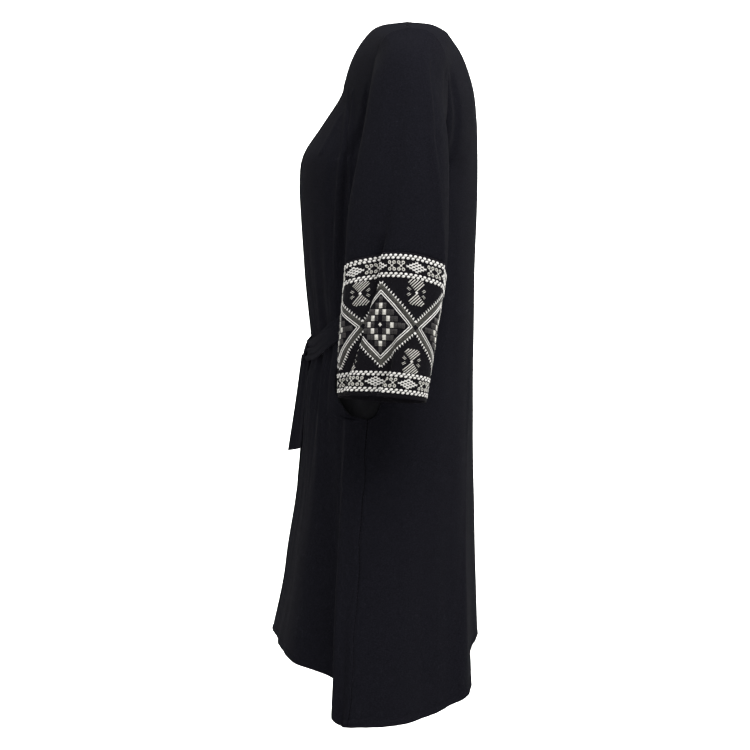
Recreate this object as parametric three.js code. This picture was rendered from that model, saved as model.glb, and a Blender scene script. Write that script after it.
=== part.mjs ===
// A women's black crepe manteau, filled out as it is worn: two fronts that overlap at the centre, a back,
// two three-quarter sleeves with deep embroidered cuff bands, pockets in the side seams, and a sash in two
// halves, each sewn into a side seam and knotted in front. Each piece that a maker cuts is one thin wall.
// Millimetres, +Z up. The front faces -Y and the wearer's left is +X. The origin is midway between the two
// inner ends of the shoulder seams, where the wearer's shoulders carry the garment.
import * as THREE from "three";

// Driving sizes.
const cloth = 1.2; // thickness of the crepe
const bandCloth = 1.8; // embroidered band on its crepe ground
const sashCloth = 2.2; // crepe folded double
const seam = 0.3; // gap between two pieces that are sewn together
const overlap = 20; // each front runs this far past the centre
const overlapLift = 3.2; // how far the upper front stands proud of the under one
const mouth = { top: -446, foot: -559, front: 0.34, back: 0.05 }; // pocket mouth, and how far its lips part
const bag = { top: -432, foot: -640, reach: 0.36, inset: 6, depth: 11 }; // pocket bag, hung inside the front
const sash = { width: 32, seamZ: -424, knotZ: -460, gathered: 27 }; // one half of the sash, seam to knot
const knot = { x: 20, y: 4.8, z: 19.5, centreY: -143.8, lean: 0.12 }; // half sizes, and a lean forwards
const tail = { top: -480.4, foot: -605, slant: 5 }; // free ends of the sash

// Sections of one front, from the shoulder seam down to the hem. in is the end on the neckline or the front
// edge, out the end on the armhole or the side seam, both as x, y, z. round is the exponent of the curve
// between them: 2 is an ellipse, more is squarer. fall is how late the height drops towards out: 1 drops
// evenly. dip lowers the cloth between the two ends.
const frontSections = [
  { at: "shoulder", in: [80, 2, 0], out: [195, 2, -30], round: 2.0, fall: 1.0 },
  { at: "collarbone", in: [77, -38, -6], out: [193, -27, -40], round: 2.0, fall: 1.1 },
  { at: "neckline 1", in: [68, -60, -25], out: [187, -40, -66], round: 2.1, fall: 1.3 },
  { at: "neckline 2", in: [50, -76, -51], out: [180, -47, -97], round: 2.3, fall: 1.6 },
  { at: "neckline 3", in: [22, -86, -78], out: [175, -51, -127], round: 2.4, fall: 2.0 },
  { at: "neck point", in: [0, -93, -100], out: [171, -52, -156], round: 2.4, fall: 2.0 },
  { at: "chest", in: [0, -119, -140], out: [170, -50, -182], round: 2.4, fall: 2.0 },
  { at: "above bust", in: [0, -143, -178], out: [173, -42, -204], round: 2.5, fall: 2.0 },
  { at: "underarm", in: [0, -149, -212], out: [178, -25, -222], round: 2.5, fall: 2.0 },
  { at: "bust", in: [0, -148, -264], out: [181, -28, -270], round: 2.5, fall: 2.0 },
  { at: "midriff", in: [0, -142, -358], out: [184, -34, -352], round: 2.4, fall: 2.0 },
  { at: "waist", in: [0, -132, -458], out: [189, -42, -434], round: 2.3, fall: 2.0 },
  { at: "pocket", in: [0, -140, -505], out: [198, -48, -497], round: 2.2, fall: 2.0 },
  { at: "pocket foot", in: [0, -145, -556], out: [208, -53, -559], round: 2.1, fall: 2.0 },
  { at: "hip", in: [0, -149, -614], out: [220, -57, -624], round: 2.05, fall: 2.0 },
  { at: "seat", in: [0, -156, -677], out: [237, -62, -702], round: 1.95, fall: 2.0 },
  { at: "thigh", in: [0, -167, -743], out: [253, -67, -788], round: 1.85, fall: 2.0, dip: -4 },
  { at: "above hem", in: [0, -175, -806], out: [268, -72, -874], round: 1.75, fall: 2.0, dip: -12 },
  { at: "hem", in: [0, -186, -868], out: [280, -78, -957], round: 1.7, fall: 2.0, dip: -22 },
];

// Sections of half the back, from the shoulder seam down: inner end on the neckline or the centre back.
const backSections = [
  { at: "shoulder", in: [80, 2, 0], out: [195, 2, -30], round: 2.0, fall: 1.0 },
  { at: "neckline 1", in: [75, 34, -3], out: [193, 32, -36], round: 2.0, fall: 1.3 },
  { at: "neckline 2", in: [50, 54, -10], out: [189, 50, -60], round: 2.1, fall: 2.0 },
  { at: "nape", in: [0, 64, -14], out: [184, 57, -88], round: 2.4, fall: 2.6 },
  { at: "yoke", in: [0, 83, -42], out: [180, 59, -118], round: 2.4, fall: 2.6 },
  { at: "shoulder blade", in: [0, 98, -85], out: [177, 57, -149], round: 2.4, fall: 2.4 },
  { at: "upper back", in: [0, 103, -127], out: [174, 47, -182], round: 2.4, fall: 2.2 },
  { at: "back", in: [0, 104, -170], out: [173, 20, -208], round: 2.4, fall: 2.0 },
  { at: "underarm", in: [0, 104, -212], out: [178, -25, -222], round: 2.5, fall: 2.0 },
  { at: "bust", in: [0, 103, -264], out: [181, -28, -270], round: 2.5, fall: 2.0 },
  { at: "midriff", in: [0, 100, -348], out: [184, -34, -352], round: 2.5, fall: 2.0 },
  { at: "waist", in: [0, 99, -434], out: [189, -42, -434], round: 2.5, fall: 2.0 },
  { at: "pocket", in: [0, 98, -496], out: [198, -48, -497], round: 2.5, fall: 2.0 },
  { at: "pocket foot", in: [0, 98, -552], out: [208, -53, -559], round: 2.5, fall: 2.0 },
  { at: "hip", in: [0, 98, -612], out: [220, -57, -624], round: 2.4, fall: 1.8 },
  { at: "seat", in: [0, 99, -676], out: [237, -62, -702], round: 2.3, fall: 1.6, dip: 1 },
  { at: "thigh", in: [0, 100, -740], out: [253, -67, -788], round: 2.25, fall: 1.4, dip: 3 },
  { at: "above hem", in: [0, 102, -802], out: [268, -72, -874], round: 2.3, fall: 1.3, dip: 5 },
  { at: "hem", in: [0, 104, -858], out: [280, -78, -957], round: 2.35, fall: 1.2, dip: 11 },
];
const neckRow = 5; // where the two fronts meet
const napeRow = 3;
const underarmRow = 8;
const hemRow = frontSections.length - 1;

// Folds of a front, each with a value for its top and one for its foot: heights, at is where it lies from
// the front edge (0) to the side seam (1), and out is how far it stands out (+) or falls in (-). half is
// its half width across.
const frontFolds = [
  { name: "side trough", heights: [-575, -960], at: [0.66, 0.66], out: [-6, -46], half: 0.17 },
  { name: "side crest", heights: [-575, -960], at: [0.88, 0.9], out: [2, -4], half: 0.09 },
  { name: "front lobe", heights: [-520, -930], at: [0.46, 0.44], out: [0, 6], half: 0.13 },
  { name: "front hollow", heights: [-520, -900], at: [0.24, 0.24], out: [-2, -3], half: 0.12 },
  { name: "skirt gather 1", heights: [-468, -690], at: [0.19, 0.17], out: [-6, 0], half: 0.07 },
  { name: "skirt gather 2", heights: [-462, -640], at: [0.42, 0.45], out: [-6, 0], half: 0.08 },
  { name: "bodice gather 1", heights: [-290, -452], at: [0.3, 0.22], out: [0, -6], half: 0.07 },
  { name: "bodice gather 2", heights: [-260, -446], at: [0.5, 0.44], out: [0, -6], half: 0.08 },
  { name: "armhole fold", heights: [-130, -400], at: [0.8, 0.72], out: [-8, -3], half: 0.1 },
];

// Folds of half the back, from the centre back (0) to the side seam (1).
const backFolds = [
  { name: "blade fold", heights: [-110, -420], at: [0.74, 0.66], out: [-4, -2], half: 0.11 },
  { name: "back trough", heights: [-600, -950], at: [0.21, 0.22], out: [-1, -7], half: 0.12 },
  { name: "back flare", heights: [-560, -950], at: [0.41, 0.41], out: [1, 12], half: 0.13 },
  { name: "side trough", heights: [-640, -950], at: [0.66, 0.66], out: [-1, -8], half: 0.12 },
];

// Rings of a sleeve below the armhole. out is the point on the far side from the body, in is the point
// beside the body, half is half the width from front to back, and lean is how far the back edge hangs below
// the middle.
const sleeveRings = [
  { at: "cap", out: [241, 0, -76], in: [187, -8, -237], half: 53, lean: 2 },
  { at: "upper arm", out: [270, 0, -146], in: [191, -13, -258], half: 59, lean: 2 },
  { at: "above elbow", out: [295, -5, -238], in: [199, -20, -308], half: 65, lean: 1 },
  { at: "band seam", out: [311, -13, -340], in: [209, -19, -378], half: 67, lean: 0 },
  { at: "band middle", out: [314, -25, -434], in: [215, -28, -459], half: 64, lean: 2 },
  { at: "cuff edge", out: [307, -34, -526], in: [219, -35, -534], half: 59.5, lean: 4 },
];
const armholeMiddle = { x: 186, y: 0 };
const bandSeamRing = 4; // counted with the armhole as ring 0
const cuffRing = 6;

// Folds of a sleeve, from one ring to another: around is the angle from the outer side towards the back, in
// degrees, and out is how far the fold stands out or falls in.
const sleeveFolds = [
  { name: "back ridge", rings: [0.6, 5.2], around: [30, 64], out: [1, 4], half: 24 },
  { name: "elbow crease", rings: [2.2, 6.2], around: [-12, -34], out: [-1, -6], half: 20 },
  { name: "front ridge", rings: [0.8, 4.6], around: [-62, -60], out: [2, 4], half: 24 },
];

const finishes = {
  crepe: { color: 0x1b1b1f, roughness: 0.85 },
  band: { color: 0x141416, roughness: 0.8 },
  sash: { color: 0x1a1a1e, roughness: 0.85 },
  pocket: { color: 0x131315, roughness: 0.9 },
};

const clamp01 = (x) => Math.min(1, Math.max(0, x));
const mix = (a, b, t) => a + (b - a) * t;
const smooth = (t) => t * t * (3 - 2 * t);
const evenly = (count, from, to) => Array.from({ length: count }, (_, i) => mix(from, to, i / (count - 1)));

// A rounded bump: 1 in the middle, 0 at a distance of one half width or more.
const bump = (distance) => (Math.abs(distance) < 1 ? (1 - distance * distance) ** 2 : 0);

// The point a share t of the way along one section. A t below 0 runs on past the inner end.
function sectionPoint(row, t) {
  const turn = (t * Math.PI) / 2;
  const across = Math.abs(Math.sin(turn)) ** (2 / row.round);
  const ahead = Math.max(0, Math.cos(turn)) ** (2 / row.round);
  const dip = (row.dip ?? 0) * 9.48 * across ** 3 * (1 - across); // 9.48 makes the deepest place 1
  const [inX, inY, inZ] = row.in;
  const [outX, outY, outZ] = row.out;
  return new THREE.Vector3(
    mix(inX, outX, across * Math.sign(t)),
    mix(outY, inY, ahead),
    mix(inZ, outZ, across ** row.fall) - dip,
  );
}

// A smooth curve through a list of points, at a place counted in points.
function through(points, place) {
  const last = points.length - 1;
  const i = Math.min(last - 1, Math.max(0, Math.floor(place)));
  const t = place - i;
  const past = (end, next) => end.clone().multiplyScalar(2).sub(next);
  const before = i > 0 ? points[i - 1] : past(points[0], points[1]);
  const after = i + 2 <= last ? points[i + 2] : past(points[last], points[last - 1]);
  const along = (axis) => {
    const [a, b, c, d] = [before[axis], points[i][axis], points[i + 1][axis], after[axis]];
    const [linear, square, cube] = [c - a, 2 * a - 5 * b + 4 * c - d, 3 * b - a - 3 * c + d];
    return 0.5 * (2 * b + linear * t + square * t ** 2 + cube * t ** 3);
  };
  return new THREE.Vector3(along("x"), along("y"), along("z"));
}

// How far the folds move a place on a panel, outwards. A fold with no depth at one end fades out towards
// it.
function foldOut(folds, t, z) {
  let out = 0;
  for (const fold of folds) {
    const [top, foot] = fold.heights;
    const down = (top - z) / (top - foot);
    const share = clamp01(down);
    const fadeIn = smooth(clamp01(1 + down * 8));
    const fadeOut = smooth(clamp01(1 + (1 - down) * 8));
    const middle = mix(...fold.at, share);
    out += mix(...fold.out, share) * fadeIn * fadeOut * bump((t - middle) / fold.half);
  }
  return out;
}

// The surface of a panel: a smooth curve down through its sections. The side seam starts afresh at the
// underarm, where it leaves the armhole.
function panelForm(sections) {
  const [over, under, next] = sections.slice(underarmRow - 1);
  const lead = { ...over, out: under.out.map((value, i) => 2 * value - next.out[i]) };
  const lower = [lead, ...sections.slice(underarmRow)];
  return (t, v) => {
    const [rows, place] = v < underarmRow ? [sections, v] : [lower, v - underarmRow + 1];
    return through(rows.map((row) => sectionPoint(row, t)), place);
  };
}

// A place on a panel moved straight outwards. side is -1 for a front and +1 for the back.
function movedOut(form, side, t, v, distance) {
  const step = 0.01;
  const along = form(Math.min(1, t + step), v).sub(form(Math.min(1 - step, t - step), v));
  const out = new THREE.Vector3(-along.y * side, along.x * side, 0).normalize();
  return form(t, v).addScaledVector(out, distance);
}

// The upper front stands off the under one around the centre, from a little below the shoulder.
const frontForm = panelForm(frontSections);
const backForm = panelForm(backSections);
function frontSurface(t, v, upper, outwards = 0) {
  const p = movedOut(frontForm, -1, t, v, outwards);
  if (upper) p.y -= overlapLift * smooth(clamp01(v / 3)) * (1 - smooth(clamp01((t - 0.2) / 0.22)));
  return p;
}
const backSurface = (t, v, outwards = 0) => movedOut(backForm, 1, t, v, outwards);

// How far the pocket mouth gapes at a height, from 0 to 1.
function gape(z) {
  const middle = (mouth.top + mouth.foot) / 2;
  const half = (mouth.top - mouth.foot) / 2;
  return Math.sqrt(Math.max(0, 1 - ((z - middle) / half) ** 2));
}

// A wall over a grid of points: the points are its inner skin, and the outer skin lies a thickness away.
function wall(points, faces, thickness) {
  const normals = points.map(() => new THREE.Vector3());
  for (const [a, b, c, d] of faces) {
    const diagonal = points[c].clone().sub(points[a]);
    const normal = diagonal.cross(points[d].clone().sub(points[b]));
    for (const corner of [a, b, c, d]) normals[corner].add(normal);
  }
  const outside = points.map((p, i) => p.clone().addScaledVector(normals[i].normalize(), thickness));
  const count = points.length;
  const triangles = [];
  const rim = new Map();
  for (const face of faces) {
    const [a, b, c, d] = face;
    triangles.push(a + count, b + count, c + count, a + count, c + count, d + count);
    triangles.push(c, b, a, d, c, a);
    face.forEach((from, i) => {
      const to = face[(i + 1) % 4];
      if (!rim.delete(to + "," + from)) rim.set(from + "," + to, [from, to]);
    });
  }
  for (const [from, to] of rim.values()) triangles.push(from, to, to + count, from, to + count, from + count);
  const geometry = new THREE.BufferGeometry();
  const xyz = [...points, ...outside].flatMap((p) => [p.x, p.y, p.z]);
  geometry.setAttribute("position", new THREE.Float32BufferAttribute(xyz, 3));
  geometry.setIndex(triangles);
  return geometry;
}

// The faces of a grid of rows by columns. A ring closes on itself, and flip turns the faces round.
function gridFaces(rows, columns, ring = false, flip = false) {
  const faces = [];
  const wide = ring ? columns : columns - 1;
  for (let i = 0; i < rows - 1; i++) {
    for (let j = 0; j < wide; j++) {
      const k = (j + 1) % columns;
      const face = [i * columns + j, (i + 1) * columns + j, (i + 1) * columns + k, i * columns + k];
      faces.push(flip ? face.reverse() : face);
    }
  }
  return faces;
}

// A wall made from rows of points, each row as long as the first. On the wearer's right it is the mirror
// image.
function sheet(rows, thickness, side, ring = false) {
  const points = rows.flat().map((p) => new THREE.Vector3(p.x * side, p.y, p.z));
  return wall(points, gridFaces(rows.length, rows[0].length, ring, side < 0), thickness);
}

const group = new THREE.Group();
function add(name, geometry, finish) {
  const material = new THREE.MeshStandardMaterial({ ...finishes[finish], metalness: 0 });
  const mesh = new THREE.Mesh(geometry, material);
  mesh.name = name;
  group.add(mesh);
}

// Where the rows of a panel lie, counted in sections.
const upperPlaces = [0, 0.6, 1.2, 2, 3, 4, 5, 5.5, 6, 6.6, 7.3];
const mouthPlaces = [11, 11.2, 11.55, 12, 12.45, 12.75, 13];
const places = [...upperPlaces, 8, 8.7, 9.5, 10.3, ...mouthPlaces, 13.6, 14.3, 15, 16, 17, hemRow];

// Where the columns of a front lie: closer together around the deep fold beside the side seam.
const frontShares = [0, 0.07, 0.15, 0.24, 0.33, 0.42, 0.5, 0.56, 0.62, 0.68, 0.74, 0.79, 0.84, 0.89, 0.94, 1];
const sewnShare = 1 - seam / 500; // where a section stops at its seam

// How far along its section a front starts: past the centre by the overlap, below the foot of the neckline.
function edgeShare(v) {
  const row = frontSections[Math.min(hemRow, Math.floor(v))];
  const past = clamp01(v - neckRow + 1);
  return -past * (2 / Math.PI) * Math.asin((overlap / row.out[0]) ** (row.round / 2));
}
function frontPoint(share, v, upper) {
  const sideZ = frontForm(1, v).z;
  const lip = v >= underarmRow ? gape(sideZ) * mouth.front : 0;
  const pushed = smooth(clamp01((share - 0.4) / 0.6));
  const t = (share === 0 ? edgeShare(v) : share * sewnShare) - lip * pushed;
  return frontSurface(t, v, upper, foldOut(frontFolds, t, frontForm(t, v).z));
}
const front = (upper) => places.map((v) => frontShares.map((share) => frontPoint(share, v, upper)));
add("front_left", sheet(front(false), cloth, 1), "crepe");
add("front_right", sheet(front(true), cloth, -1), "crepe");

// The back, one piece from side seam to side seam with the neck scooped out of its top.
const backShares = evenly(10, 0, 1);
function backPoint(share, v) {
  const sideZ = backForm(1, v).z;
  const lip = v >= underarmRow ? gape(sideZ) * mouth.back : 0;
  const t = share * (sewnShare - lip);
  const p = backSurface(t, v, foldOut(backFolds, t, backForm(t, v).z));
  if (v === 0) p.y += seam;
  return p;
}
function backWall() {
  const points = [];
  const indices = new Map();
  const key = (side, i, j) => (j === 0 && places[i] >= napeRow ? "centre" : side) + "," + i + "," + j;
  const indexOf = (side, i, j) => indices.get(key(side, i, j));
  const faces = [];
  for (const side of [1, -1]) {
    places.forEach((v, i) => backShares.forEach((share, j) => {
      if (indices.has(key(side, i, j))) return;
      indices.set(key(side, i, j), points.length);
      const p = backPoint(share, v);
      points.push(new THREE.Vector3(p.x * side, p.y, p.z));
    }));
    for (let i = 0; i < places.length - 1; i++) {
      for (let j = 0; j < backShares.length - 1; j++) {
        const face = [[i, j], [i, j + 1], [i + 1, j + 1], [i + 1, j]].map(([a, b]) => indexOf(side, a, b));
        faces.push(side > 0 ? face : face.reverse());
      }
    }
  }
  return wall(points, faces, cloth);
}
add("back", backWall(), "crepe");

// A sleeve: the armhole loop, then the rings down to the cuff. The angle runs from the outer side to the
// back.
const sleeveColumns = 18;
function armholePoint(angle) {
  const turn = ((angle % 360) + 360) % 360;
  const isBack = turn <= 180;
  const place = ((isBack ? turn : 360 - turn) / 180) * underarmRow;
  const rows = isBack ? backSections : frontSections;
  const p = through(rows.map((row) => sectionPoint(row, 1)), place);
  p.x += mix(0.5, cloth + cloth + 0.8, clamp01(place / 4)); // clear of the panel
  return p;
}
function ringPoint(ring, angle) {
  const turn = THREE.MathUtils.degToRad(angle);
  const out = (1 + Math.cos(turn)) / 2;
  return new THREE.Vector3(
    mix(ring.in[0], ring.out[0], out),
    mix(ring.in[1], ring.out[1], out) + ring.half * Math.sin(turn),
    mix(ring.in[2], ring.out[2], out) - ring.lean * Math.sin(turn),
  );
}
const halfway = (a, b) => (a + b) / 2;
const ringMiddles = sleeveRings.map(
  (r) => new THREE.Vector3(halfway(r.in[0], r.out[0]), halfway(r.in[1], r.out[1]), 0));
const sleeveMiddles = [new THREE.Vector3(armholeMiddle.x, armholeMiddle.y, 0), ...ringMiddles];
function sleevePoint(angle, place) {
  const p = through([armholePoint(angle), ...sleeveRings.map((ring) => ringPoint(ring, angle))], place);
  const middle = through(sleeveMiddles, place);
  const out = new THREE.Vector3(p.x - middle.x, p.y - middle.y, 0).normalize();
  for (const fold of sleeveFolds) {
    const share = (place - fold.rings[0]) / (fold.rings[1] - fold.rings[0]);
    const around = mix(...fold.around, clamp01(share));
    const away = ((((angle - around) % 360) + 540) % 360) - 180;
    const fade = smooth(clamp01(1 + share * 4)) * smooth(clamp01(1 + (1 - share) * 4));
    p.addScaledVector(out, mix(...fold.out, clamp01(share)) * fade * bump(away / fold.half));
  }
  return p;
}
const angles = evenly(sleeveColumns + 1, 0, 360).slice(0, sleeveColumns);
const tube = (from, to, count) =>
  evenly(count, from, to).map((v) => angles.map((angle) => sleevePoint(angle, v)));
const sleeveRows = tube(0, bandSeamRing - 0.0025, 11);
const bandRows = tube(bandSeamRing + 0.0025, cuffRing, 6);

// The place down a front where it reaches a height.
function placeAtHeight(t, z) {
  let [above, below] = [underarmRow, hemRow];
  for (let i = 0; i < 24; i++) {
    const middle = (above + below) / 2;
    if (frontForm(t, middle).z > z) above = middle;
    else below = middle;
  }
  return above;
}

// A pocket bag. Its outer layer is sewn to the front lip of the mouth and its inner layer to the back lip,
// and it reaches forwards inside the front to a closed tip. A share over 1 lies round the side seam, on the
// back.
const bagLayer = evenly(7, 0, 1);
const bagSteps = evenly(7, 0, 1);
function bagPlace(share, z, inset) {
  const t = share > 1 ? 2 - share : share;
  const v = placeAtHeight(t, z);
  return share > 1 ? backSurface(t, v, -inset) : frontSurface(t, v, false, foldOut(frontFolds, t, z) - inset);
}
function bagPoint(step, down, isInner) {
  const z = mix(mix(mouth.top, bag.top, step), mix(mouth.foot, bag.foot, step), down);
  const lipZ = mix(mouth.top, mouth.foot, down);
  const settle = smooth(clamp01(step * 2));
  const frontLip = 1 - gape(lipZ) * mouth.front;
  const tip = 1 - mouth.front * 0.6 - bag.reach + 0.1 * down;
  const sewn = cloth + seam + 1.5;
  if (!isInner) return bagPlace(mix(frontLip, tip, step), z, mix(sewn, bag.inset, settle));
  const start = mix(sewn + 2, 1.2, gape(lipZ));
  const layers = bag.inset + mix(bag.depth, 5, smooth(clamp01(step * 2 - 1)));
  return bagPlace(mix(1 + gape(lipZ) * mouth.back, tip, step), z, mix(start, layers, settle));
}
function bagRows() {
  return bagSteps.map((step) => [
    ...bagLayer.map((down) => bagPoint(step, down, false)),
    ...bagLayer.map((down) => bagPoint(step, 1 - down, true)),
  ]);
}
function bagWall(side) {
  const rows = bagRows();
  const columns = rows[0].length;
  const points = rows.flat().map((p) => new THREE.Vector3(p.x * side, p.y, p.z));
  const faces = gridFaces(rows.length, columns, true, side > 0);
  const last = (rows.length - 1) * columns;
  for (let j = 0; j < bagLayer.length - 1; j++) {
    const face = [j, j + 1, columns - 2 - j, columns - 1 - j].map((k) => last + k);
    faces.push(side > 0 ? face : face.reverse());
  }
  return wall(points, faces, cloth);
}

// A point on the outside of a front at a height, found along one column of its wall.
function onFront(t, z, upper, outwards) {
  const column = places.filter((v) => v >= underarmRow).map((v) => frontSurface(t, v, upper, outwards));
  const i = column.findIndex((p) => p.z < z);
  return column[i - 1].clone().lerp(column[i], (column[i - 1].z - z) / (column[i - 1].z - column[i].z));
}

// One half of the sash, from the knot to the side seam. It lies on the front, and rises where it enters the
// knot.
function sashRows(upper) {
  const shares = [0.049, 0.1, ...frontShares.filter((share) => share > 0.1)];
  return shares.map((share) => {
    const along = (share - shares[0]) / (1 - shares[0]);
    const width = mix(sash.gathered, sash.width, smooth(clamp01(along * 3)));
    const middle = mix(sash.knotZ, sash.seamZ, along ** 1.3);
    const rise = 6 * (1 - smooth(clamp01(along * 12)));
    return evenly(4, -0.5, 0.5).map((across) =>
      onFront(share * sewnShare, middle + width * across, upper, cloth + seam + 0.15 + rise));
  });
}

// The knot, a soft lump that leans forward and is nipped where the sash crosses itself.
function knotGeometry() {
  const geometry = new THREE.SphereGeometry(1, 16, 10);
  const position = geometry.getAttribute("position");
  const squarer = (x) => Math.sign(x) * Math.abs(x) ** 0.75;
  for (let i = 0; i < position.count; i++) {
    const [x, y, z] = [position.getX(i), position.getY(i), position.getZ(i)];
    const nip = y < 0 ? 1 - 0.16 * bump((x * 0.8 + z * 0.6) / 0.35) : 1;
    const forward = knot.lean * knot.z * squarer(z);
    position.setXYZ(i, squarer(x) * knot.x, squarer(y) * knot.y * nip + forward, squarer(z) * knot.z);
  }
  return geometry.translate(0, knot.centreY, sash.knotZ);
}

// The free ends of the sash: the inner and then the outer edge of each, at the knot, half way down and at
// the foot.
const tails = [
  { name: "left", topX: 3, topY: -149, midX: 7, midY: -157.2, footX: 9, footY: -166.8 },
  { name: "left", topX: 26, topY: -140, midX: 33, midY: -145.4, footX: 37, footY: -150 },
  { name: "right", topX: -3, topY: -149, midX: -6, midY: -156.6, footX: -8, footY: -161 },
  { name: "right", topX: -15, topY: -147.5, midX: -35, midY: -152.6, footX: -41, footY: -157.5 },
];
function tailWall(name) {
  const edges = tails.filter((row) => row.name === name).map((row) => [
    new THREE.Vector3(row.topX, row.topY, tail.top),
    new THREE.Vector3(row.midX, row.midY, (tail.top + tail.foot) / 2),
    new THREE.Vector3(row.footX, row.footY, tail.foot),
  ]);
  const rows = evenly(9, 0, 2).map((place) => evenly(4, 0, 1).map((across) => {
    const p = through(edges[0], place).lerp(through(edges[1], place), across);
    p.z += tail.slant * (across - 0.5) * place / 2;
    return p;
  }));
  return wall(rows.flat(), gridFaces(rows.length, rows[0].length, false, name === "right"), sashCloth);
}

for (const [name, side] of [["left", 1], ["right", -1]]) {
  add("sleeve_" + name, sheet(sleeveRows, cloth, side, true), "crepe");
  add("cuff_band_" + name, sheet(bandRows, bandCloth, side, true), "band");
  add("pocket_" + name, bagWall(side), "pocket");
  add("sash_" + name, sheet(sashRows(side < 0), sashCloth, side), "sash");
}
add("sash_knot", knotGeometry(), "sash");
add("sash_tail_left", tailWall("left"), "sash");
add("sash_tail_right", tailWall("right"), "sash");

export default group;
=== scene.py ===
# A women's black crepe manteau, filled out as it is worn: its cloth, seams, sash and embroidered cuffs, made
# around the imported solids. Sizes in millimetres are turned to metres where a mesh is made.
import math
import random

import bpy
import numpy as np
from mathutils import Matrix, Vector


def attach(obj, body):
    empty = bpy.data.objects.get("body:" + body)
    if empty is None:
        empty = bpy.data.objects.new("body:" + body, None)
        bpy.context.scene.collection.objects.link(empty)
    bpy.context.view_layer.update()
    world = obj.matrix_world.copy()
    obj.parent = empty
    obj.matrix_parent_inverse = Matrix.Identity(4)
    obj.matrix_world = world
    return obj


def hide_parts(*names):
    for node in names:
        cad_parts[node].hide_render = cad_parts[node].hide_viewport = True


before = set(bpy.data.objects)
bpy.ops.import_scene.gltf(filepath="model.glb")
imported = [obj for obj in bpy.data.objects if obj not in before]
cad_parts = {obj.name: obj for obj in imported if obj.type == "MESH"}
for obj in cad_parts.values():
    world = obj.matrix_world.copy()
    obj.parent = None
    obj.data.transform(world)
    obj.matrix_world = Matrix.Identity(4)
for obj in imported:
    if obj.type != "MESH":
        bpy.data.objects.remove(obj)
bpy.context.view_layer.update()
random.seed(11)
mm = 0.001
tags = {1: "Left", -1: "Right"}  # the wearer's own sides; the right one is a mirror image
print("frame loaded:", len(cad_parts), "nodes")


def table(names, lines):
    return [dict(zip(names.split(), line)) for line in lines]


def clamp01(x):
    return np.clip(x, 0.0, 1.0)


def mix(a, b, t):
    return a + (b - a) * t


def smooth(t):
    return t * t * (3 - 2 * t)


def bump(distance):
    return np.where(np.abs(distance) < 1, (1 - distance ** 2) ** 2, 0.0)


def skewBump(distance, before, after):  # a fold with one steep side
    return bump(np.where(distance < 0, distance / before, distance / after))


def between(value, low, high):  # 0 below low, 1 above high
    return smooth(clamp01((value - low) / (high - low)))


def unit(vectors):
    return vectors / np.maximum(np.linalg.norm(vectors, axis=-1, keepdims=True), 1e-9)


def through(point, count, place):  # a smooth curve through numbered points
    i = min(count - 2, max(0, math.floor(place)))
    t = place - i
    b, c = point(i), point(i + 1)
    a = point(i - 1) if i > 0 else 2 * b - c
    d = point(i + 2) if i + 2 < count else 2 * c - b
    return 0.5 * (2 * b + (c - a) * t + (2 * a - 5 * b + 4 * c - d) * t * t + (3 * b - a - 3 * c + d) * t ** 3)


def steps(*stops):  # steps((0, 1, 10), ...) joins even runs of places, with no place twice
    runs = [np.linspace(low, high, count) for low, high, count in stops]
    return np.unique(np.round(np.concatenate(runs), 5))


# the cloth's form, with the same sizes as the solids
cloth = {"crepe": 1.2, "band": 1.3, "sash": 2.2, "seam": 0.3}
lap = {"past": 20, "lift": 3.2, "edge": 1.9}  # how the right front laps over the left one
mouth = {"top": -446, "foot": -559, "front": 0.34, "back": 0.05}  # the gap in the side seam, and how far it gapes
bag = {"top": -432, "foot": -640, "reach": 0.36, "inset": 6, "depth": 11}
neckRow, napeRow, underarmRow, mouthRow = 5, 3, 8, 13  # rows of the section tables

sectionColumns = "inX inY inZ outX outY outZ round fall dip"
frontSections = table(sectionColumns, [
    (80, 2, 0, 195, 2, -30, 2, 1, 0),
    (77, -38, -6, 193, -27, -40, 2, 1.1, 0),
    (68, -60, -25, 187, -40, -66, 2.1, 1.3, 0),
    (50, -76, -51, 180, -47, -97, 2.3, 1.6, 0),
    (22, -86, -78, 175, -51, -127, 2.4, 2, 0),
    (0, -93, -100, 171, -52, -156, 2.4, 2, 0),
    (0, -119, -140, 170, -50, -182, 2.4, 2, 0),
    (0, -143, -178, 173, -42, -204, 2.5, 2, 0),
    (0, -149, -212, 178, -25, -222, 2.5, 2, 0),
    (0, -148, -264, 181, -28, -270, 2.5, 2, 0),
    (0, -142, -358, 184, -34, -352, 2.4, 2, 0),
    (0, -132, -458, 189, -42, -434, 2.3, 2, 0),
    (0, -140, -505, 198, -48, -497, 2.2, 2, 0),
    (0, -145, -556, 208, -53, -559, 2.1, 2, 0),
    (0, -149, -614, 220, -57, -624, 2.05, 2, 0),
    (0, -156, -677, 237, -62, -702, 1.95, 2, 0),
    (0, -167, -743, 253, -67, -788, 1.85, 2, -4),
    (0, -175, -806, 268, -72, -874, 1.75, 2, -12),
    (0, -186, -868, 280, -78, -957, 1.7, 2, -22)])
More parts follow.
